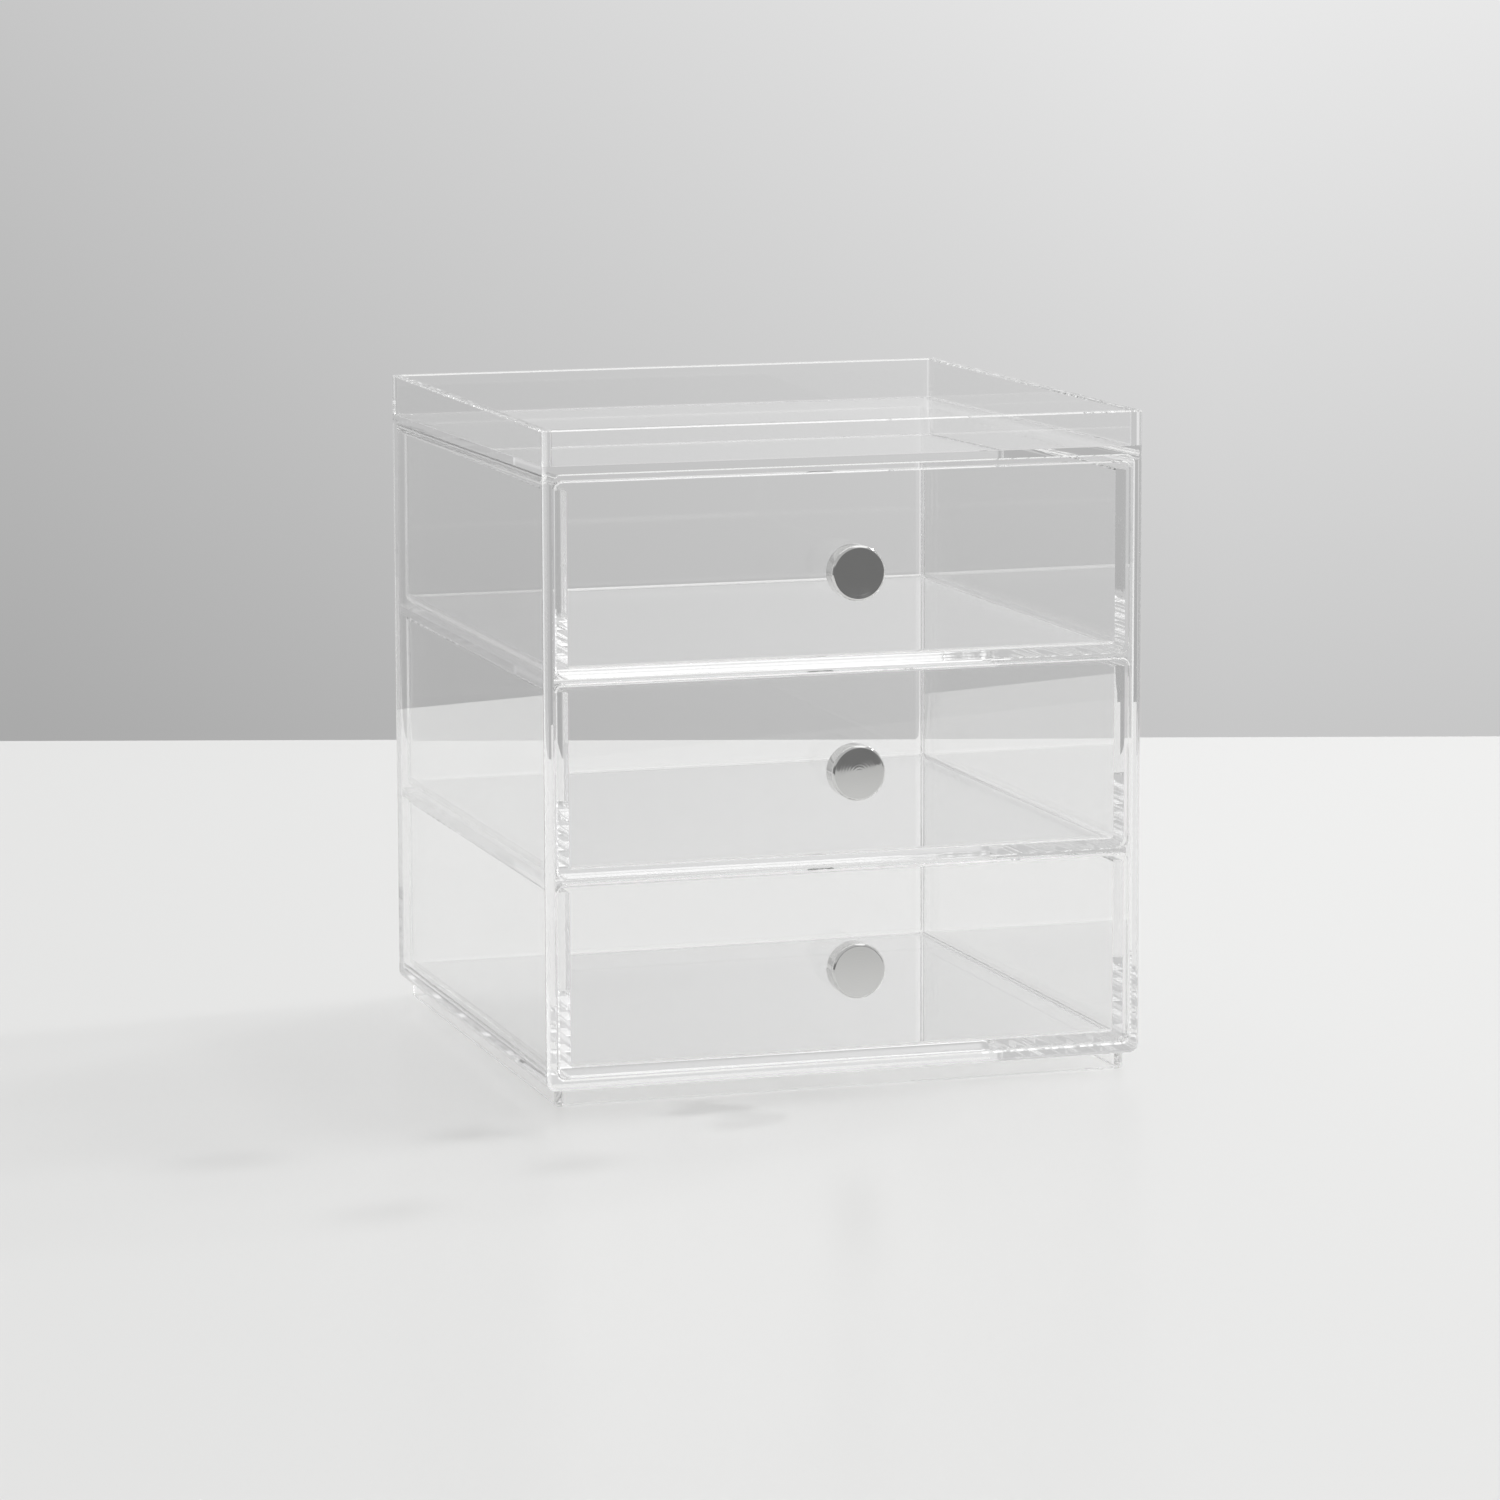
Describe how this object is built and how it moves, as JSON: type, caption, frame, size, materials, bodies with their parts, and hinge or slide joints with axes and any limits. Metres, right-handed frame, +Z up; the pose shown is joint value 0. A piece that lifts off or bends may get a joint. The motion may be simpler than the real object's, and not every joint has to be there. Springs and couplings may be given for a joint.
{
  "type": "makeup organizer drawers",
  "caption": "Clear acrylic box with pull-out drawers on turned metal knobs, a raised rim that makes a tray of its top, and an inset foot for stacking.",
  "frame": {"origin": "middle of the whole box of the part, knobs included, on the surface that the foot stands on", "axes": "+Z up, -Y out of the front along the drawers' travel, +X to the right as seen from the front"},
  "size_m": [0.174, 0.1844, 0.1877],
  "materials": {
    "clear_acrylic": "gloss",
    "chrome": "polished",
    "screw_steel": "satin"
  },
  "bodies": {
    "case": {"case_shell": "clear_acrylic", "top_rim": "clear_acrylic", "base_foot": "clear_acrylic", "shelf_lower": "clear_acrylic", "shelf_upper": "clear_acrylic"},
    "drawer_bottom": {"drawer_bottom": "clear_acrylic", "knob_bottom": "chrome", "knob_screw_bottom": "screw_steel"},
    "drawer_middle": {"drawer_middle": "clear_acrylic", "knob_middle": "chrome", "knob_screw_middle": "screw_steel"},
    "drawer_top": {"drawer_top": "clear_acrylic", "knob_top": "chrome", "knob_screw_top": "screw_steel"}
  },
  "joints": [
    {"name": "drawer_bottom_slide", "type": "slide", "parent": "case", "child": "drawer_bottom", "axis": [0, -1, 0], "range_m": [0, 0.12]},
    {"name": "drawer_middle_slide", "type": "slide", "parent": "case", "child": "drawer_middle", "axis": [0, -1, 0], "range_m": [0, 0.12]},
    {"name": "drawer_top_slide", "type": "slide", "parent": "case", "child": "drawer_top", "axis": [0, -1, 0], "range_m": [0, 0.12]}
  ]
}
